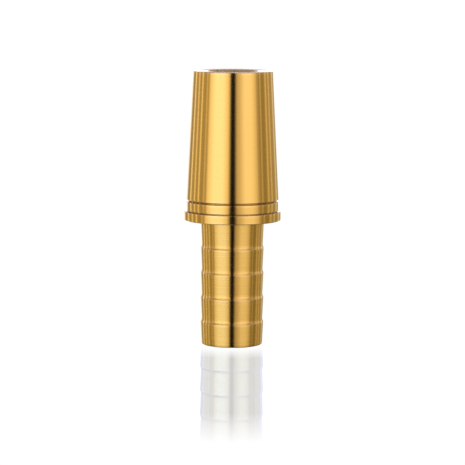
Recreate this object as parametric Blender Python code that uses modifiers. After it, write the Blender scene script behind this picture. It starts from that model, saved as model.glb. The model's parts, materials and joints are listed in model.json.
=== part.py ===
"""Swivelling hose adapter for an 18.8 mm ground joint, in anodised aluminium.

The adapter stands on its hose tail, with +Z up along the axis and the origin at the centre of
the tail's end face. Three turned metal pieces make the body:

- the taper spigot, a 1:10 cone that plugs into the glass;
- the gland collar, which screws into the foot of the spigot and carries the hose stop flange;
- the hose tail, four barbs below the flange, with a head and a sealed shank inside the spigot.

The tail's head is held between the gland and a step in the spigot, on two thrust washers, so the
tail turns without end while two O-rings seal its shank. A third O-ring seals the gland's thread.
"""

import math

import bpy

MM = 0.001

# Facets round the axis: a multiple of 12, so that the facets line up again at each 30 degrees.
FACETS = 60
SHARP_ANGLE = math.radians(30)

# Fits, as gaps between radii or between end faces.
RUNNING_GAP = 0.07 * MM
SCREWED_GAP = 0.03 * MM
SEAL_GAP = 0.03 * MM
EDGE_BREAK = 0.10 * MM

# Taper spigot: the standard 18.8/26 cone with a taper of 1:10.
TAPER = 0.1
TAPER_LARGE_RADIUS = 9.40 * MM
TAPER_LENGTH = 26.09 * MM
TAPER_FOOT_BREAK = 0.12 * MM
TAPER_RIM_BREAK = 0.08 * MM
TAPER_MOUTH_RADIUS = 5.02 * MM
MOUTH_BREAK = 0.08 * MM

# Gland collar, listed from its lower face upwards.
FLANGE_RADIUS = 9.85 * MM
FLANGE_THICKNESS = 1.79 * MM
FLANGE_TOP_BREAK = 0.04 * MM
FLANGE_FOOT_BREAK = 0.12 * MM
RING_GROOVE_WIDTH = 0.15 * MM
RING_GROOVE_RADIUS = 9.10 * MM
COLLAR_RADIUS = 9.34 * MM
COLLAR_HEIGHT = 1.87 * MM
COLLAR_TOP_BREAK = 0.06 * MM
PARTING_GROOVE_WIDTH = 0.30 * MM
PARTING_GROOVE_RADIUS = 9.03 * MM
BOSS_RADIUS = 8.00 * MM
BOSS_HEIGHT = 4.00 * MM

# Hose tail below the flange.
BARB_COUNT = 4
BARB_PITCH = 5.07 * MM
FIRST_BARB_HEIGHT = 4.65 * MM
BARB_RADIUS = 6.44 * MM
VALLEY_RADIUS = 6.24 * MM
BARB_FILLET_HEIGHT = 0.70 * MM
BARB_FILLET_STEPS = 4
TAIL_END_ROUND = 0.26 * MM
TAIL_END_ROUND_STEPS = 4
TAIL_VISIBLE_LENGTH = 25.48 * MM
TAIL_BORE_RADIUS = 4.80 * MM

# Hose tail inside the gland and the spigot.
JOURNAL_RADIUS = 6.475 * MM
HEAD_RADIUS = 7.35 * MM
HEAD_THICKNESS = 1.40 * MM
SHANK_RADIUS = 6.20 * MM
SHANK_LENGTH = 8.40 * MM
SHANK_END_GAP = 0.15 * MM
SEAL_GROOVE_RADIUS = 5.45 * MM
SEAL_GROOVE_WIDTH = 1.20 * MM
LOWER_SEAL_GROOVE_HEIGHT = 2.20 * MM
UPPER_SEAL_GROOVE_HEIGHT = 5.20 * MM

# Thrust washers, and the seal of the gland's thread.
WASHER_THICKNESS = 0.50 * MM
WASHER_FACE_GAP = 0.03 * MM
GLAND_SEAL_HEIGHT = 1.00 * MM
GLAND_SEAL_INNER_RADIUS = 7.45 * MM
GLAND_SEAL_OUTER_RADIUS = 8.45 * MM
SEAL_CORNER_STEPS = 2
SEAL_CORNER_SHARE = 0.36

# Heights along the axis that follow from the sizes above.
FLANGE_BOTTOM = TAIL_VISIBLE_LENGTH
FLANGE_TOP = FLANGE_BOTTOM + FLANGE_THICKNESS
COLLAR_BOTTOM = FLANGE_TOP + RING_GROOVE_WIDTH
COLLAR_TOP = COLLAR_BOTTOM + COLLAR_HEIGHT
SPIGOT_SEAT = COLLAR_TOP + PARTING_GROOVE_WIDTH
SPIGOT_FOOT = SPIGOT_SEAT + SCREWED_GAP
SPIGOT_TOP = SPIGOT_FOOT + TAPER_LENGTH
BOSS_TOP = SPIGOT_SEAT + BOSS_HEIGHT
HEAD_BOTTOM = BOSS_TOP + WASHER_THICKNESS + 2 * WASHER_FACE_GAP
HEAD_TOP = HEAD_BOTTOM + HEAD_THICKNESS
SPIGOT_STEP = HEAD_TOP + WASHER_THICKNESS + 2 * WASHER_FACE_GAP
SHANK_TOP = HEAD_TOP + SHANK_LENGTH

# Bores of the gland and the spigot that follow from what runs in them.
GLAND_BORE_RADIUS = JOURNAL_RADIUS + RUNNING_GAP
THREAD_BORE_RADIUS = BOSS_RADIUS + SCREWED_GAP
HEAD_BORE_RADIUS = HEAD_RADIUS + 2 * RUNNING_GAP
SHANK_BORE_RADIUS = SHANK_RADIUS + RUNNING_GAP


def turned(name, outline, material, home):
    """One piece turned about +Z from a closed (radius, height) outline, down its outside first."""
    profile = bpy.data.meshes.new(name)
    corners = [(radius, 0.0, height) for radius, height in outline]
    edges = [(i, (i + 1) % len(corners)) for i in range(len(corners))]
    profile.from_pydata(corners, edges, [])
    piece = bpy.data.objects.new(name, profile)
    home.objects.link(piece)
    screw = piece.modifiers.new("Turn", "SCREW")
    screw.axis = "Z"
    screw.angle = math.tau
    screw.steps = FACETS
    screw.render_steps = FACETS
    screw.use_merge_vertices = False

    graph = bpy.context.evaluated_depsgraph_get()
    mesh = bpy.data.meshes.new_from_object(piece.evaluated_get(graph))
    mesh.name = name
    mesh.shade_smooth()
    mesh.set_sharp_from_angle(angle=SHARP_ANGLE)
    mesh.materials.append(material)
    piece.modifiers.clear()
    piece.data = mesh
    bpy.data.meshes.remove(profile)
    return piece


def surface(name, colour, metallic, roughness):
    """A plain Principled material."""
    material = bpy.data.materials.new(name)
    material.use_nodes = True
    shader = material.node_tree.nodes["Principled BSDF"]
    shader.inputs["Base Color"].default_value = (*colour, 1.0)
    shader.inputs["Metallic"].default_value = metallic
    shader.inputs["Roughness"].default_value = roughness
    return material


def arc(centre, radii, start, end, steps):
    """Points of an elliptical arc in the (radius, height) plane, with both ends."""
    turn = (end - start) / steps
    angles = [start + i * turn for i in range(steps + 1)]
    return [
        (centre[0] + radii[0] * math.cos(a), centre[1] + radii[1] * math.sin(a)) for a in angles
    ]


def barb_fillet(ridge_height):
    """The hollow shoulder above a barb, from the valley down to the sharp ridge."""
    rise = BARB_RADIUS - VALLEY_RADIUS
    run = BARB_FILLET_HEIGHT
    radius = (rise**2 + run**2) / (2 * rise)
    sweep = math.asin(run / radius)
    centre = (VALLEY_RADIUS + radius, ridge_height + run)
    return arc(centre, (radius, radius), math.pi, math.pi + sweep, BARB_FILLET_STEPS)


def seal_groove(floor_height):
    """One rectangular O-ring groove cut in the shank, from its upper edge down."""
    top = floor_height + SEAL_GROOVE_WIDTH
    return [
        (SHANK_RADIUS, top),
        (SEAL_GROOVE_RADIUS, top),
        (SEAL_GROOVE_RADIUS, floor_height),
        (SHANK_RADIUS, floor_height),
    ]


def taper_radius(height):
    """The cone's radius at a height."""
    return TAPER_LARGE_RADIUS - (height - SPIGOT_FOOT) * TAPER / 2


def taper_spigot_outline():
    foot_break_top = SPIGOT_FOOT + TAPER_FOOT_BREAK
    rim_break_bottom = SPIGOT_TOP - TAPER_RIM_BREAK
    seal_ceiling = SPIGOT_FOOT + GLAND_SEAL_HEIGHT
    shank_ceiling = SHANK_TOP + SHANK_END_GAP
    return [
        (taper_radius(SPIGOT_TOP) - TAPER_RIM_BREAK, SPIGOT_TOP),
        (taper_radius(rim_break_bottom), rim_break_bottom),
        (taper_radius(foot_break_top), foot_break_top),
        (TAPER_LARGE_RADIUS - TAPER_FOOT_BREAK, SPIGOT_FOOT),
        (GLAND_SEAL_OUTER_RADIUS, SPIGOT_FOOT),
        (GLAND_SEAL_OUTER_RADIUS, seal_ceiling),
        (THREAD_BORE_RADIUS, seal_ceiling + SEAL_GAP),
        (THREAD_BORE_RADIUS, BOSS_TOP),
        (HEAD_BORE_RADIUS, BOSS_TOP + WASHER_THICKNESS),
        (HEAD_BORE_RADIUS, SPIGOT_STEP),
        (SHANK_BORE_RADIUS, SPIGOT_STEP),
        (SHANK_BORE_RADIUS, shank_ceiling),
        (TAPER_MOUTH_RADIUS, shank_ceiling),
        (TAPER_MOUTH_RADIUS, SPIGOT_TOP - MOUTH_BREAK),
        (TAPER_MOUTH_RADIUS + MOUTH_BREAK, SPIGOT_TOP),
    ]


def gland_collar_outline():
    seal_bottom = SPIGOT_SEAT
    seal_top = seal_bottom + GLAND_SEAL_HEIGHT + SEAL_GAP
    return [
        (BOSS_RADIUS - EDGE_BREAK, BOSS_TOP),
        (BOSS_RADIUS, BOSS_TOP - EDGE_BREAK),
        (BOSS_RADIUS, seal_top),
        (GLAND_SEAL_INNER_RADIUS, seal_top),
        (GLAND_SEAL_INNER_RADIUS, seal_bottom),
        (PARTING_GROOVE_RADIUS, SPIGOT_SEAT),
        (PARTING_GROOVE_RADIUS, COLLAR_TOP),
        (COLLAR_RADIUS - COLLAR_TOP_BREAK, COLLAR_TOP),
        (COLLAR_RADIUS, COLLAR_TOP - COLLAR_TOP_BREAK),
        (COLLAR_RADIUS, COLLAR_BOTTOM + EDGE_BREAK),
        (COLLAR_RADIUS - EDGE_BREAK, COLLAR_BOTTOM),
        (RING_GROOVE_RADIUS, COLLAR_BOTTOM),
        (RING_GROOVE_RADIUS, FLANGE_TOP),
        (FLANGE_RADIUS - FLANGE_TOP_BREAK, FLANGE_TOP),
        (FLANGE_RADIUS, FLANGE_TOP - FLANGE_TOP_BREAK),
        (FLANGE_RADIUS, FLANGE_BOTTOM + FLANGE_FOOT_BREAK),
        (FLANGE_RADIUS - FLANGE_FOOT_BREAK, FLANGE_BOTTOM),
        (GLAND_BORE_RADIUS + EDGE_BREAK, FLANGE_BOTTOM),
        (GLAND_BORE_RADIUS, FLANGE_BOTTOM + EDGE_BREAK),
        (GLAND_BORE_RADIUS, BOSS_TOP),
    ]


def hose_tail_outline():
    outline = [
        (SHANK_RADIUS - EDGE_BREAK, SHANK_TOP),
        (SHANK_RADIUS, SHANK_TOP - EDGE_BREAK),
    ]
    outline += seal_groove(HEAD_TOP + UPPER_SEAL_GROOVE_HEIGHT)
    outline += seal_groove(HEAD_TOP + LOWER_SEAL_GROOVE_HEIGHT)
    outline += [
        (SHANK_RADIUS, HEAD_TOP),
        (HEAD_RADIUS, HEAD_TOP),
        (HEAD_RADIUS, HEAD_BOTTOM),
        (JOURNAL_RADIUS, HEAD_BOTTOM),
        (JOURNAL_RADIUS, FLANGE_BOTTOM),
    ]
    for barb in reversed(range(BARB_COUNT)):
        outline += barb_fillet(FIRST_BARB_HEIGHT + barb * BARB_PITCH)
    outline += arc(
        (VALLEY_RADIUS - TAIL_END_ROUND, TAIL_END_ROUND),
        (TAIL_END_ROUND, TAIL_END_ROUND),
        0.0,
        -math.pi / 2,
        TAIL_END_ROUND_STEPS,
    )
    outline += [
        (TAIL_BORE_RADIUS + MOUTH_BREAK, 0.0),
        (TAIL_BORE_RADIUS, MOUTH_BREAK),
        (TAIL_BORE_RADIUS, SHANK_TOP),
    ]
    return outline


def seal_outline(inner_radius, outer_radius, bottom, top):
    """A squeezed O-ring: a rectangle with its four corners rounded right across."""
    corner = SEAL_CORNER_SHARE * min(outer_radius - inner_radius, top - bottom)
    size = (corner, corner)
    quarter = math.pi / 2
    outline = []
    for (radius, height), start in (
        ((outer_radius - corner, top - corner), quarter),
        ((outer_radius - corner, bottom + corner), 0.0),
        ((inner_radius + corner, bottom + corner), -quarter),
        ((inner_radius + corner, top - corner), -2 * quarter),
    ):
        outline += arc((radius, height), size, start, start - quarter, SEAL_CORNER_STEPS)
    return outline


def washer_outline(inner_radius, outer_radius, bottom):
    top = bottom + WASHER_THICKNESS
    return [
        (outer_radius, top),
        (outer_radius, bottom),
        (inner_radius, bottom),
        (inner_radius, top),
    ]


def make_metal_pieces(home):
    satin_gold = surface("gold_anodised_aluminium", (0.80, 0.52, 0.16), 1.0, 0.25)
    turned("taper_spigot", taper_spigot_outline(), satin_gold, home)
    turned("gland_collar", gland_collar_outline(), satin_gold, home)
    turned("hose_tail", hose_tail_outline(), satin_gold, home)


def make_washers(home):
    white_plastic = surface("white_ptfe", (0.85, 0.85, 0.82), 0.0, 0.45)
    lower = washer_outline(
        JOURNAL_RADIUS + RUNNING_GAP,
        HEAD_BORE_RADIUS - RUNNING_GAP,
        BOSS_TOP + WASHER_FACE_GAP,
    )
    upper = washer_outline(
        SHANK_RADIUS + RUNNING_GAP,
        HEAD_BORE_RADIUS - RUNNING_GAP,
        HEAD_TOP + WASHER_FACE_GAP,
    )
    turned("thrust_washer_lower", lower, white_plastic, home)
    turned("thrust_washer_upper", upper, white_plastic, home)


def make_seals(home):
    black_rubber = surface("black_nitrile", (0.02, 0.02, 0.02), 0.0, 0.55)
    for name, floor_height in (
        ("shank_oring_lower", HEAD_TOP + LOWER_SEAL_GROOVE_HEIGHT),
        ("shank_oring_upper", HEAD_TOP + UPPER_SEAL_GROOVE_HEIGHT),
    ):
        outline = seal_outline(
            SEAL_GROOVE_RADIUS + SEAL_GAP,
            SHANK_BORE_RADIUS - SEAL_GAP,
            floor_height + SEAL_GAP,
            floor_height + SEAL_GROOVE_WIDTH - SEAL_GAP,
        )
        turned(name, outline, black_rubber, home)
    gland_seal = seal_outline(
        GLAND_SEAL_INNER_RADIUS + SEAL_GAP,
        GLAND_SEAL_OUTER_RADIUS - SEAL_GAP,
        SPIGOT_SEAT + SEAL_GAP,
        SPIGOT_SEAT + GLAND_SEAL_HEIGHT,
    )
    turned("gland_oring", gland_seal, black_rubber, home)


def main():
    for item in list(bpy.data.objects):
        bpy.data.objects.remove(item, do_unlink=True)
    home = bpy.data.collections.new("hose_adapter")
    bpy.context.scene.collection.children.link(home)
    make_metal_pieces(home)
    make_washers(home)
    make_seals(home)


main()
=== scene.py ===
"""Looks of the swivelling ground joint hose adapter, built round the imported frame.

Each piece of the adapter is turned again from the outline of its own CAD node, with every edge
rounded and many more facets, and gets a procedural material. The stage is a pale polished floor
inside a light tent. The tent's lights were fitted by trial to the look of the front view, and
don't copy a real studio.
"""

import json
import math

import bmesh
import bpy
from mathutils import Matrix, Vector


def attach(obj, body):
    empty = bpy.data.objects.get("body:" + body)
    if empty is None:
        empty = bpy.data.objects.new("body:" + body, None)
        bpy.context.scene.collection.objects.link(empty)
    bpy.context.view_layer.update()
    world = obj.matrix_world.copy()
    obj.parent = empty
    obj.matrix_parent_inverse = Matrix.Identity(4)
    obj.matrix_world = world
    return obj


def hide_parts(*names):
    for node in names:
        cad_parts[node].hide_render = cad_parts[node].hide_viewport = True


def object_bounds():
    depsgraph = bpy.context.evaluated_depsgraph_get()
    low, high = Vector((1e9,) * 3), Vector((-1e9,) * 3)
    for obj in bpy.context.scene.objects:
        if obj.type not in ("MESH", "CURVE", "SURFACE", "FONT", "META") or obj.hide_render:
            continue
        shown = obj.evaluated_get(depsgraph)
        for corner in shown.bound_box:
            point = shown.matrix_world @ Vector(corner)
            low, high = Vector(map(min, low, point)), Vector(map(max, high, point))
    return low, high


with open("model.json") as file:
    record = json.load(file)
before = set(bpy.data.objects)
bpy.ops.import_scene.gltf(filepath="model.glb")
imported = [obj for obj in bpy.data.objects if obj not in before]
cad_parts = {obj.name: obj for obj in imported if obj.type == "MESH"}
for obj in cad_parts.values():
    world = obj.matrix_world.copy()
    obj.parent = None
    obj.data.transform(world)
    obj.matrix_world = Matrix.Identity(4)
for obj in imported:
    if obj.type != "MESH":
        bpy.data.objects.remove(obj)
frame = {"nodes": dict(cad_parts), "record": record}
cad_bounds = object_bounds()

MM = 0.001

# Turned meshes.
TURN_STEPS = 240
EDGE_ROUND = 0.035 * MM
ROUND_STEPS = 4
CORNER_ANGLE = math.radians(14)
LONGEST_RUN = 0.5 * MM
SHARP_ANGLE = math.radians(40)

# Narrow grooves of the outside, which get painted shade: how far above and below a point their lips may
# lie, the depth where the painted shade starts, where it is full, and past which a place isn't a groove.
GROOVE_REACH = 0.5 * MM
GROOVE_SHALLOW = 0.20 * MM
GROOVE_DEEP = 0.30 * MM
GROOVE_DEEPEST = 1.2 * MM

# The plain drilled bore lies inside this radius.
BORE_EDGE = 5.1 * MM

# Camera, standing well back with a long lens.
CAMERA_DISTANCE = 470 * MM
CAMERA_HEIGHT = 80.5 * MM
AIM_HEIGHT = 22.82 * MM
AIM_RIGHT = 0.05 * MM
CAMERA_ROLL = math.radians(0.30)
SENSOR_WIDTH = 36.0
LENS = 180.05

# Stage.
FLOOR_SIZE = 8.0
FLOOR_DROP = 0.02 * MM
TENT_RADIUS = 2.5
SKY_RADIUS = 2.0
WORLD_STRENGTH = 1.1
FLOOR_GLOW = 1.02

# The floor's polish mirrors the part from a little way off its foot, and fades further out. Its
# tint is the opposite of gold, so that the mirrored part looks grey.
POLISH = (0.225, 0.355, 0.92)
POLISH_SHARE = 0.40
POLISH_ROUGHNESS = 0.02
POLISH_STARTS = 6.5 * MM
POLISH_FULL = 18 * MM
POLISH_FADES_FROM = 72 * MM
POLISH_ENDS = 98 * MM


# ---------------------------------------------------------------- shapes

def outline_of(node):
    """The closed (radius, height) outline of a turned CAD node, in order, from its cut at +X."""
    mesh = frame["nodes"][node].data
    near_zero = 1e-6
    points = {}
    links = {}

    def key_of(index):
        co = mesh.vertices[index].co
        if abs(co.y) > near_zero or co.x < near_zero:
            return None
        key = (round(co.x, 7), round(co.z, 7))
        points[key] = (co.x, co.z)
        return key

    for edge in mesh.edges:
        a, b = (key_of(i) for i in edge.vertices)
        if a is None or b is None or a == b:
            continue
        links.setdefault(a, set()).add(b)
        links.setdefault(b, set()).add(a)
    start = max(links, key=lambda key: (key[1], key[0]))
    order = [start]
    while len(order) < len(links):
        last = order[-1]
        onward = [key for key in links[last] if key not in order]
        order.append(max(onward))
    return [Vector(points[key]) for key in order]


def without_straight_points(outline):
    """The outline with only the points where it turns."""
    kept = []
    for i, point in enumerate(outline):
        before = point - outline[i - 1]
        after = outline[(i + 1) % len(outline)] - point
        if before.length and after.length and abs(before.angle_signed(after)) > 1e-4:
            kept.append(point)
    return kept


def rounded(outline, radius):
    """Each corner becomes an arc of about this radius. The second list says what is an edge."""
    points, edges = [], []
    for i, corner in enumerate(outline):
        back = outline[i - 1] - corner
        ahead = outline[(i + 1) % len(outline)] - corner
        turn = math.pi - back.angle(ahead)
        if turn < CORNER_ANGLE:
            points.append(corner)
            edges.append(0.0)
            continue
        setback = min(radius * math.tan(turn / 2), 0.4 * back.length, 0.4 * ahead.length)
        first = corner + back.normalized() * setback
        last = corner + ahead.normalized() * setback
        for step in range(ROUND_STEPS + 1):
            t = step / ROUND_STEPS
            points.append(first * (1 - t) ** 2 + corner * 2 * t * (1 - t) + last * t**2)
            edges.append(1.0)
    return points, edges


def divided(points, edges, longest):
    """Long straight runs split, so that no quad is much longer than the others."""
    fine_points, fine_edges = [], []
    for i, point in enumerate(points):
        after = points[(i + 1) % len(points)]
        parts = max(1, math.ceil((after - point).length / longest))
        for part in range(parts):
            fine_points.append(point.lerp(after, part / parts))
            fine_edges.append(edges[i] if part == 0 else 0.0)
    return fine_points, fine_edges


def turned(name, outline, edge_round=EDGE_ROUND):
    """A closed mesh turned about +Z, with the distance along its outline and its edges stored."""
    points, edges = rounded(without_straight_points(outline), edge_round)
    points, edges = divided(points, edges, LONGEST_RUN)
    count = len(points)
    along = [0.0]
    for i in range(1, count):
        along.append(along[-1] + (points[i] - points[i - 1]).length)
    vertices = []
    for step in range(TURN_STEPS):
        angle = math.tau * step / TURN_STEPS
        c, s = math.cos(angle), math.sin(angle)
        vertices += [(p.x * c, p.x * s, p.y) for p in points]
    faces = []
    for step in range(TURN_STEPS):
        here = step * count
        there = (step + 1) % TURN_STEPS * count
        for i in range(count):
            j = (i + 1) % count
            faces.append((here + i, here + j, there + j, there + i))
    mesh = bpy.data.meshes.new(name)
    mesh.from_pydata(vertices, [], faces)
    store(mesh, "along", [d / MM for d in along] * TURN_STEPS)
    store(mesh, "edge", edges * TURN_STEPS)
    # How deep each point lies in a narrow groove, which sets the painted shade there.
    store(mesh, "groove_shade", [recess_at(p) for p in points] * TURN_STEPS)
    store(mesh, "bore", [float(p.x < BORE_EDGE) for p in points] * TURN_STEPS)
    face_outwards(mesh)
    mesh.shade_smooth()
    mesh.set_sharp_from_angle(angle=SHARP_ANGLE)
    piece = bpy.data.objects.new(name, mesh)
    bpy.context.scene.collection.objects.link(piece)
    return piece


def outer_radius(low, high):
    """The largest radius of the whole adapter between two heights."""
    return max((p.x for p in all_points if low <= p.y <= high), default=0.0)


def recess_at(point):
    """How far a point lies in a narrow groove of the outside: 0 is not at all, 1 is deep."""
    above = outer_radius(point.y, point.y + GROOVE_REACH)
    below = outer_radius(point.y - GROOVE_REACH, point.y)
    depth = min(above, below) - point.x
    if depth > GROOVE_DEEPEST:
        return 0.0
    return min(1.0, max(0.0, (depth - GROOVE_SHALLOW) / (GROOVE_DEEP - GROOVE_SHALLOW)))


def store(mesh, name, values):
    attribute = mesh.attributes.new(name, "FLOAT", "POINT")
    attribute.data.foreach_set("value", values)


def face_outwards(mesh):
    work = bmesh.new()
    work.from_mesh(mesh)
    bmesh.ops.recalc_face_normals(work, faces=work.faces)
    if work.calc_volume(signed=True) < 0:
        bmesh.ops.reverse_faces(work, faces=work.faces)
    work.to_mesh(mesh)
    work.free()


# ---------------------------------------------------------------- materials

class Nodes:
    """A short way to write a node tree."""

    def __init__(self, material):
        self.tree = material.node_tree

    def add(self, kind, **settings):
        node = self.tree.nodes.new(kind)
        for key, value in settings.items():
            setattr(node, key, value)
        return node

    def link(self, source, target):
        self.tree.links.new(source, target)

    def maths(self, operation, first, second=None):
        """A Math node; each input is a socket or a number."""
        node = self.add("ShaderNodeMath", operation=operation)
        for socket, value in zip(node.inputs, (first, second)):
            if isinstance(value, bpy.types.NodeSocket):
                self.link(value, socket)
            elif value is not None:
                socket.default_value = value
        return node.outputs[0]

    def noise(self, where, scale, detail=2.0, roughness=0.5, dimensions="1D"):
        """Noise along one distance, or through space."""
        node = self.add("ShaderNodeTexNoise", noise_dimensions=dimensions)
        node.inputs["Scale"].default_value = scale
        node.inputs["Detail"].default_value = detail
        node.inputs["Roughness"].default_value = roughness
        self.link(where, node.inputs["W" if dimensions == "1D" else "Vector"])
        return node.outputs[0]

    def remap(self, value, low, high, from_low=0.0, from_high=1.0):
        node = self.add("ShaderNodeMapRange")
        self.link(value, node.inputs["Value"])
        node.inputs["From Min"].default_value = from_low
        node.inputs["From Max"].default_value = from_high
        node.inputs["To Min"].default_value = low
        node.inputs["To Max"].default_value = high
        return node.outputs[0]

    def mix(self, factor, first, second, blend="MIX"):
        """A colour mix; each colour is a socket or three numbers."""
        node = self.add("ShaderNodeMix", data_type="RGBA", blend_type=blend)
        if isinstance(factor, bpy.types.NodeSocket):
            self.link(factor, node.inputs[0])
        else:
            node.inputs[0].default_value = factor
        for socket, value in ((node.inputs[6], first), (node.inputs[7], second)):
            if isinstance(value, bpy.types.NodeSocket):
                self.link(value, socket)
            else:
                socket.default_value = (*value, 1.0)
        return node.outputs[2]


def new_material(name):
    material = bpy.data.materials.new(name)
    material.use_nodes = True
    return material, Nodes(material), material.node_tree.nodes["Principled BSDF"]


def anodised_gold(name, colour, worn_colour, mark_pitch, mark_height, roughness, spread):
    """Turned and anodised aluminium: marks round the axis, light wear on edges, painted shade in grooves.
    """
    material, n, shader = new_material(name)
    along = n.add("ShaderNodeAttribute", attribute_name="along").outputs["Fac"]
    edge = n.add("ShaderNodeAttribute", attribute_name="edge").outputs["Fac"]
    place = n.add("ShaderNodeTexCoord").outputs["Object"]

    marks = n.noise(along, 1.0 / mark_pitch, detail=1.0)
    broad = n.noise(along, 0.16 / mark_pitch, detail=3.0, roughness=0.6)
    cloud = n.noise(place, 180.0, detail=3.0, dimensions="3D")

    tone = n.maths("ADD", n.maths("MULTIPLY", marks, MARK_TONE), n.maths("MULTIPLY", broad, 1 - MARK_TONE))
    low = [c * TONE_DARKEST for c in colour]
    high = [min(1.0, c * TONE_LIGHTEST) for c in colour]
    base = n.mix(tone, low, high)
    base = n.mix(n.remap(cloud, 0.0, 0.35, 0.35, 0.75), base, [c * 0.96 for c in colour])
    base = n.mix(n.maths("MULTIPLY", edge, EDGE_WEAR), base, worn_colour)
    # Painted shade: the narrow grooves are darkened towards dark brown, the deeper ones fully.
    groove_shade = n.add("ShaderNodeAttribute", attribute_name="groove_shade").outputs["Fac"]
    base = n.mix(n.maths("MULTIPLY", groove_shade, GROOVE_SHADE_SHARE), base, GROOVE_SHADE)
    bore = n.add("ShaderNodeAttribute", attribute_name="bore").outputs["Fac"]
    base = n.mix(bore, base, n.mix(tone, DRILLED_DARK, DRILLED))
    n.link(base, shader.inputs["Base Color"])

    rough = n.remap(broad, roughness - spread, roughness + spread)
    rough = n.maths("MAXIMUM", rough, n.maths("MULTIPLY", bore, BORE_ROUGHNESS))
    n.link(rough, shader.inputs["Roughness"])
    n.link(n.remap(bore, 1.0, BORE_METALLIC), shader.inputs["Metallic"])
    shader.inputs["Anisotropic"].default_value = 1.0
    shader.inputs["Anisotropic Rotation"].default_value = 0.25
    tangent = n.add("ShaderNodeTangent", direction_type="RADIAL", axis="Z")
    n.link(tangent.outputs[0], shader.inputs["Tangent"])

    bump = n.add("ShaderNodeBump")
    bump.inputs["Distance"].default_value = mark_height
    bump.inputs["Strength"].default_value = 1.0
    height = n.maths("ADD", marks, n.maths("MULTIPLY", broad, 2.0))
    height = n.maths("MULTIPLY", height, n.remap(bore, 1.0, BORE_BUMP))
    n.link(height, bump.inputs["Height"])
    n.link(bump.outputs[0], shader.inputs["Normal"])
    return material


def waxy_plastic(name, colour):
    """Turned fluoropolymer, with faint marks and a soft shine."""
    material, n, shader = new_material(name)
    along = n.add("ShaderNodeAttribute", attribute_name="along").outputs["Fac"]
    place = n.add("ShaderNodeTexCoord").outputs["Object"]
    marks = n.noise(along, 14.0, detail=2.0)
    mottle = n.noise(place, 900.0, detail=4.0, dimensions="3D")
    n.link(n.mix(mottle, [c * 0.93 for c in colour], colour), shader.inputs["Base Color"])
    n.link(n.remap(marks, 0.38, 0.55), shader.inputs["Roughness"])
    shader.inputs["Subsurface Weight"].default_value = 0.1
    shader.inputs["Subsurface Scale"].default_value = 0.5 * MM
    bump = n.add("ShaderNodeBump")
    bump.inputs["Distance"].default_value = 0.01 * MM
    n.link(marks, bump.inputs["Height"])
    n.link(bump.outputs[0], shader.inputs["Normal"])
    return material


def moulded_rubber(name, colour):
    """Greased nitrile rubber, with a fine grain."""
    material, n, shader = new_material(name)
    place = n.add("ShaderNodeTexCoord").outputs["Object"]
    grain = n.noise(place, 6000.0, detail=3.0, dimensions="3D")
    patches = n.noise(place, 500.0, detail=2.0, dimensions="3D")
    n.link(n.mix(patches, colour, [c * 1.8 for c in colour]), shader.inputs["Base Color"])
    n.link(n.remap(patches, 0.3, 0.6), shader.inputs["Roughness"])
    bump = n.add("ShaderNodeBump")
    bump.inputs["Distance"].default_value = 0.01 * MM
    n.link(grain, bump.inputs["Height"])
    n.link(bump.outputs[0], shader.inputs["Normal"])
    return material


# ---------------------------------------------------------------- the adapter

GOLD = (0.66, 0.375, 0.086)
WORN_GOLD = (0.74, 0.52, 0.25)
EDGE_WEAR = 0.25
MARK_TONE = 0.35
TONE_DARKEST = 0.93
TONE_LIGHTEST = 1.06
BORE_BUMP = 0.15
# Painted shade in the narrow grooves: its dark colour, and how much of it the deepest grooves get.
GROOVE_SHADE = (0.22, 0.09, 0.004)
GROOVE_SHADE_SHARE = 0.85
DRILLED = (0.54, 0.36, 0.22)
DRILLED_DARK = (0.46, 0.30, 0.18)
BORE_ROUGHNESS = 0.60
BORE_METALLIC = 0.25


def body_of(node):
    for body, members in frame["record"]["behaviour"]["bodies"].items():
        if node in members:
            return body
    raise ValueError(node)


def slot_of(node):
    for row in frame["record"]["subparts"]:
        if row["node"] == node:
            return row["material_slot"]
    raise ValueError(node)


def build_adapter():
    finishes = {
        "gold_aluminium_fine": anodised_gold(
            "gold_fine_turned", GOLD, WORN_GOLD, 0.10, 0.0008 * MM, 0.20, 0.015
        ),
        "gold_aluminium_turned": anodised_gold(
            "gold_collar_turned", GOLD, WORN_GOLD, 0.19, 0.0052 * MM, 0.20, 0.03
        ),
        "gold_aluminium_barbs": anodised_gold(
            "gold_barbs_turned", GOLD, WORN_GOLD, 0.21, 0.0055 * MM, 0.21, 0.03
        ),
        "white_plastic": waxy_plastic("white_fluoropolymer", (0.86, 0.86, 0.83)),
        "black_rubber": moulded_rubber("black_nitrile", (0.015, 0.015, 0.015)),
    }
    for node in sorted(frame["nodes"]):
        piece = turned(node + "_turned", outline_of(node))
        piece.data.materials.append(finishes[slot_of(node)])
        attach(piece, body_of(node))
        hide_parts(node)
        adapter_collection.objects.link(piece)


# ---------------------------------------------------------------- stage

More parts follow.
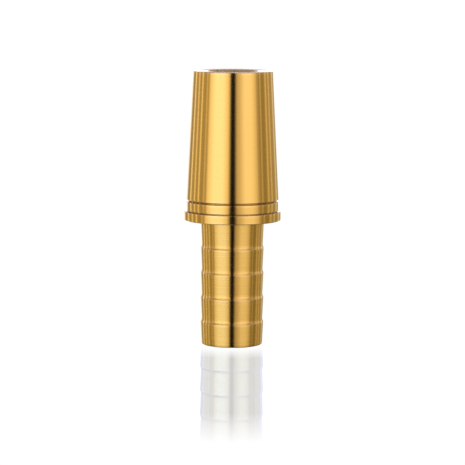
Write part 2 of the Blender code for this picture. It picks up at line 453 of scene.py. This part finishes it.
# Soft lights of the tent: where each starts and ends, in degrees round the object (0 is towards
# the camera, right is positive), how wide its two soft borders are, its colour and strength. A
# shade takes light away.
NEUTRAL = (1.0, 1.0, 0.95)
COOL = (0.30, 0.60, 1.50)
LIGHTS = (
    ("left main", -75.0, -3.1, 9.0, 9.0, NEUTRAL, 1.40),
    ("left heart", -72.0, -8.0, 26.0, 20.0, COOL, 1.28),
    ("right main", 3.2, 77.5, 9.5, 12.5, NEUTRAL, 0.95),
    ("right fill", 9.0, 76.5, 26.0, 26.0, NEUTRAL, 0.62),
    ("right heart", 14.0, 66.0, 22.0, 22.0, COOL, 0.36),
    ("left strip 1", -81.0, -73.5, 3.5, 3.5, NEUTRAL, 0.46),
    ("left strip 2", -99.0, -91.0, 4.0, 4.0, NEUTRAL, 1.02),
    ("left strip 3", -115.0, -105.5, 5.0, 5.0, NEUTRAL, 0.94),
    ("left strip 4", -134.0, -123.5, 5.0, 6.0, NEUTRAL, 1.14),
    ("left shade", -149.0, -136.0, 4.0, 4.0, NEUTRAL, -0.12),
    ("right shade", 70.0, 99.0, 5.0, 3.0, NEUTRAL, -0.10),
    ("right strip 1", 78.5, 86.0, 3.5, 3.5, NEUTRAL, 0.42),
    ("right strip 2", 99.5, 109.0, 4.0, 5.0, NEUTRAL, 0.52),
    ("right strip 3", 114.0, 124.0, 4.0, 5.0, NEUTRAL, 0.50),
    ("right strip 4", 136.0, 152.0, 6.0, 7.0, NEUTRAL, 0.50),
)
LEFT_WALL = (0.555, 0.535, 0.375)
RIGHT_WALL = (0.53, 0.51, 0.35)
SIDE_WALL_START = 70.0
SIDE_WALL_SOFT = 4.0
SIDE_TINT_SOFT = 8.0
FLAG = (0.010, 0.012, 0.040)

# The tent's light changes with the height, in degrees above the horizon: brighter in a band, dim
# overhead, and dim below like a table, with some light again where the table is seen steeply.
BAND_LIFT = 0.38
BAND_STARTS = 1.0
BAND_FULL = 8.0
OVERHEAD_STARTS = 11.0
OVERHEAD_FULL = 20.0
OVERHEAD_LEFT_SHARE = 0.38
OVERHEAD_RIGHT_SHARE = 0.62
TABLE_STARTS = -13.0
TABLE_FULL = -31.0
TABLE_SHARE = 0.15
STEEP_STARTS = -42.0
STEEP_START_SOFT = 10.0
STEEP_ENDS = -74.0
STEEP_END_SOFT = 8.0
STEEP_SHARE = 0.55

# The white backdrop behind the object, and a brighter strip low on it.
BACKDROP = (1.35, 1.35, 1.35)
BACKDROP_LEFT = 145.5
BACKDROP_RIGHT = 160.0
BACKDROP_SOFT = 12.0
BACKDROP_ENDS = 7.5
BACKDROP_END_SOFT = 2.0
BACKDROP_HIGH_SHARE = 0.35
HORIZON = (2.8, 2.8, 2.8)
HORIZON_TURN = 168.0
HORIZON_TURN_SOFT = 6.0
HORIZON_STARTS = 0.5
HORIZON_START_SOFT = 1.5
HORIZON_ENDS = 8.0
HORIZON_END_SOFT = 3.0

# The lights' tints low and high in the tent. Low down, the front lights also draw together.
LOW_HEIGHT = -9.0
LOW_SQUEEZE = 0.33
LOW_SQUEEZE_REACH = 45.0
LOW_LEFT = (0.98, 0.97, 0.90)
LOW_RIGHT = (0.85, 0.84, 0.77)
HIGH_STARTS = 6.0
HIGH_FULL = 11.0
HIGH_LEFT = (1.06, 0.97, 0.84)
HIGH_RIGHT = (0.84, 0.84, 1.12)
HIGH_SIDES = (1.20, 1.25, 2.40)

# Heights of the tent's rows, in degrees above the horizon, closest where the light changes most.
TENT_STEPS = 720
TENT_ROWS = (
    *(-89, -74, -66, -52, -42, -31, -26, -21, -17, -13, -9, -6, -3),
    *(0, 0.5, 2, 4, 6, 7.5, 8.5, 9.5, 11, 13, 16, 20, 30, 45, 60, 89),
)
UNTINTED = (1.0, 1.0, 1.0)


def smooth(value):
    t = min(1.0, max(0.0, value))
    return t * t * (3 - 2 * t)


def blend(share, first, second):
    return [f * (1 - share) + g * share for f, g in zip(first, second)]


def tinted(glow, tint):
    return [g * t for g, t in zip(glow, tint)]


def lights_glow(degrees, height):
    """The walls and their lights, with the tints that change with the height."""
    turn = abs(degrees)
    on_left = degrees < 0
    low = smooth(height / LOW_HEIGHT)
    degrees *= 1.0 - LOW_SQUEEZE * low * max(0.0, 1.0 - turn / LOW_SQUEEZE_REACH)
    wall = smooth((turn - SIDE_WALL_START) / SIDE_WALL_SOFT)
    glow = blend(wall, FLAG, LEFT_WALL if on_left else RIGHT_WALL)
    for _, start, end, soft_start, soft_end, colour, strength in LIGHTS:
        share = smooth((degrees - start) / soft_start) * smooth((end - degrees) / soft_end)
        glow = [g + strength * share * c for g, c in zip(glow, colour)]
    glow = tinted(glow, blend(low, UNTINTED, LOW_LEFT if on_left else LOW_RIGHT))
    high = smooth((height - HIGH_STARTS) / (HIGH_FULL - HIGH_STARTS))
    side = smooth((turn - SIDE_WALL_START) / SIDE_TINT_SOFT)
    high_tint = blend(side, HIGH_LEFT if on_left else HIGH_RIGHT, HIGH_SIDES)
    return tinted(glow, blend(high, UNTINTED, high_tint))


def dimmed(glow, height, on_left):
    """The bright band, the dark top and the dark table below."""
    band = smooth((height - BAND_STARTS) / (BAND_FULL - BAND_STARTS))
    glow = [g * (1 + BAND_LIFT * band) for g in glow]
    dark = smooth((height - OVERHEAD_STARTS) / (OVERHEAD_FULL - OVERHEAD_STARTS))
    dark_share = OVERHEAD_LEFT_SHARE if on_left else OVERHEAD_RIGHT_SHARE
    glow = [g * (1 - (1 - dark_share) * dark) for g in glow]
    below = smooth((height - TABLE_STARTS) / (TABLE_FULL - TABLE_STARTS))
    steep = smooth((STEEP_STARTS - height) / STEEP_START_SOFT)
    steep *= smooth((height - STEEP_ENDS) / STEEP_END_SOFT)
    share = TABLE_SHARE + (STEEP_SHARE - TABLE_SHARE) * steep
    return [g * (1 - (1 - share) * below) for g in glow]


def wall_glow(degrees, height):
    """The tent wall's colour at an angle round the object and an angle above the horizon."""
    turn = abs(degrees)
    on_left = degrees < 0
    glow = dimmed(lights_glow(degrees, height), height, on_left)
    behind = smooth((turn - (BACKDROP_LEFT if on_left else BACKDROP_RIGHT)) / BACKDROP_SOFT)
    high = smooth((height - BACKDROP_ENDS) / BACKDROP_END_SOFT)
    glow = blend(behind, glow, [c * (1 - (1 - BACKDROP_HIGH_SHARE) * high) for c in BACKDROP])
    horizon = smooth((turn - HORIZON_TURN) / HORIZON_TURN_SOFT)
    horizon *= smooth((height - HORIZON_STARTS) / HORIZON_START_SOFT)
    horizon *= smooth((HORIZON_ENDS - height) / HORIZON_END_SOFT)
    return blend(horizon, glow, HORIZON)


def build_tent():
    """A round wall of soft light. Only reflections show it."""
    count = len(TENT_ROWS)
    vertices, faces, glows = [], [], []
    for i in range(TENT_STEPS):
        degrees = 360.0 * i / TENT_STEPS - 180.0
        angle = math.radians(degrees)
        for height in TENT_ROWS:
            across = TENT_RADIUS * math.cos(math.radians(height))
            up = TENT_RADIUS * math.sin(math.radians(height))
            vertices.append((across * math.sin(angle), -across * math.cos(angle), up))
            glows += [*wall_glow(degrees, height), 1.0]
    for i in range(TENT_STEPS):
        here, there = i * count, (i + 1) % TENT_STEPS * count
        for row in range(count - 1):
            faces.append((here + row, there + row, there + row + 1, here + row + 1))
    mesh = bpy.data.meshes.new("light_tent")
    mesh.from_pydata(vertices, [], faces)
    glow = mesh.attributes.new("glow", "FLOAT_COLOR", "POINT")
    glow.data.foreach_set("color", glows)

    material = bpy.data.materials.new("light_tent")
    material.use_nodes = True
    n = Nodes(material)
    n.tree.nodes.clear()
    emission = n.add("ShaderNodeEmission")
    n.link(n.add("ShaderNodeAttribute", attribute_name="glow").outputs["Color"], emission.inputs[0])
    n.link(emission.outputs[0], n.add("ShaderNodeOutputMaterial").inputs["Surface"])
    mesh.materials.append(material)
    tent = bpy.data.objects.new("light_tent", mesh)
    bpy.context.scene.collection.objects.link(tent)
    tent.visible_camera = False
    tent.visible_diffuse = False
    tent.visible_shadow = False
    tent.light_linking.receiver_collection = adapter_collection


def build_world():
    world = bpy.data.worlds.new("studio")
    bpy.context.scene.world = world
    world.use_nodes = True
    background = world.node_tree.nodes["Background"]
    background.inputs["Color"].default_value = (1.0, 1.0, 1.0, 1.0)
    background.inputs["Strength"].default_value = WORLD_STRENGTH


def build_floor():
    mesh = bpy.data.meshes.new("floor")
    half = FLOOR_SIZE / 2
    corners = [(-half, -half, 0), (half, -half, 0), (half, half, 0), (-half, half, 0)]
    mesh.from_pydata(corners, [], [(0, 1, 2, 3)])
    floor = bpy.data.objects.new("floor", mesh)
    floor.location.z = cad_bounds[0].z - FLOOR_DROP
    bpy.context.scene.collection.objects.link(floor)
    material = bpy.data.materials.new("pale_floor")
    material.use_nodes = True
    n = Nodes(material)
    n.tree.nodes.clear()
    place = n.add("ShaderNodeTexCoord").outputs["Object"]
    distance = n.add("ShaderNodeVectorMath", operation="LENGTH")
    n.link(place, distance.inputs[0])
    distance = distance.outputs["Value"]
    starts = n.remap(distance, 0.0, 1.0, POLISH_STARTS, POLISH_FULL)
    ends = n.remap(distance, 1.0, 0.0, POLISH_FADES_FROM, POLISH_ENDS)
    polished = n.maths("MULTIPLY", starts, ends)
    white = n.add("ShaderNodeEmission")
    glow = n.maths("SUBTRACT", 1.0, n.maths("MULTIPLY", polished, POLISH_SHARE))
    n.link(n.maths("MULTIPLY", glow, FLOOR_GLOW), white.inputs["Strength"])
    polish = n.add("ShaderNodeBsdfGlossy")
    n.link(n.mix(polished, (0.0, 0.0, 0.0), POLISH), polish.inputs["Color"])
    polish.inputs["Roughness"].default_value = POLISH_ROUGHNESS
    surface = n.add("ShaderNodeAddShader")
    n.link(white.outputs[0], surface.inputs[0])
    n.link(polish.outputs[0], surface.inputs[1])
    n.link(surface.outputs[0], n.add("ShaderNodeOutputMaterial").inputs["Surface"])
    mesh.materials.append(material)
    floor.visible_glossy = False
    floor.visible_shadow = False
    return floor


def build_sky(floor):
    """A clear dome, tinted so that the polish still looks white. Only the floor's polish shows it."""
    mesh = bpy.data.meshes.new("sky")
    work = bmesh.new()
    bmesh.ops.create_uvsphere(work, u_segments=48, v_segments=24, radius=SKY_RADIUS)
    work.to_mesh(mesh)
    work.free()
    material = bpy.data.materials.new("sky")
    material.use_nodes = True
    n = Nodes(material)
    n.tree.nodes.clear()
    white = n.add("ShaderNodeEmission")
    white.inputs["Color"].default_value = (*[POLISH_SHARE / tint for tint in POLISH], 1.0)
    white.inputs["Strength"].default_value = FLOOR_GLOW
    clear = n.add("ShaderNodeBsdfTransparent")
    both = n.add("ShaderNodeAddShader")
    n.link(white.outputs[0], both.inputs[0])
    n.link(clear.outputs[0], both.inputs[1])
    n.link(both.outputs[0], n.add("ShaderNodeOutputMaterial").inputs["Surface"])
    mesh.materials.append(material)
    sky = bpy.data.objects.new("sky", mesh)
    bpy.context.scene.collection.objects.link(sky)
    sky.visible_camera = False
    sky.visible_diffuse = False
    sky.visible_shadow = False
    under_sky = bpy.data.collections.new("lit_by_the_sky")
    under_sky.objects.link(floor)
    sky.light_linking.receiver_collection = under_sky


def build_camera():
    data = bpy.data.cameras.new("camera")
    data.sensor_width = SENSOR_WIDTH
    data.lens = LENS
    data.clip_start = 0.01
    data.clip_end = 20.0
    camera = bpy.data.objects.new("camera", data)
    bpy.context.scene.collection.objects.link(camera)
    place = Vector((0.0, -CAMERA_DISTANCE, CAMERA_HEIGHT))
    aim = Vector((AIM_RIGHT, 0.0, AIM_HEIGHT))
    look = (aim - place).to_track_quat("-Z", "Y").to_matrix().to_4x4()
    camera.matrix_world = Matrix.Translation(place) @ look @ Matrix.Rotation(CAMERA_ROLL, 4, "Z")
    bpy.context.scene.camera = camera


all_points = [point for node in frame["nodes"] for point in outline_of(node)]
adapter_collection = bpy.data.collections.new("lit_by_the_tent")
build_adapter()
build_tent()
build_world()
build_sky(build_floor())
build_camera()
bpy.context.scene.view_settings.view_transform = "Standard"
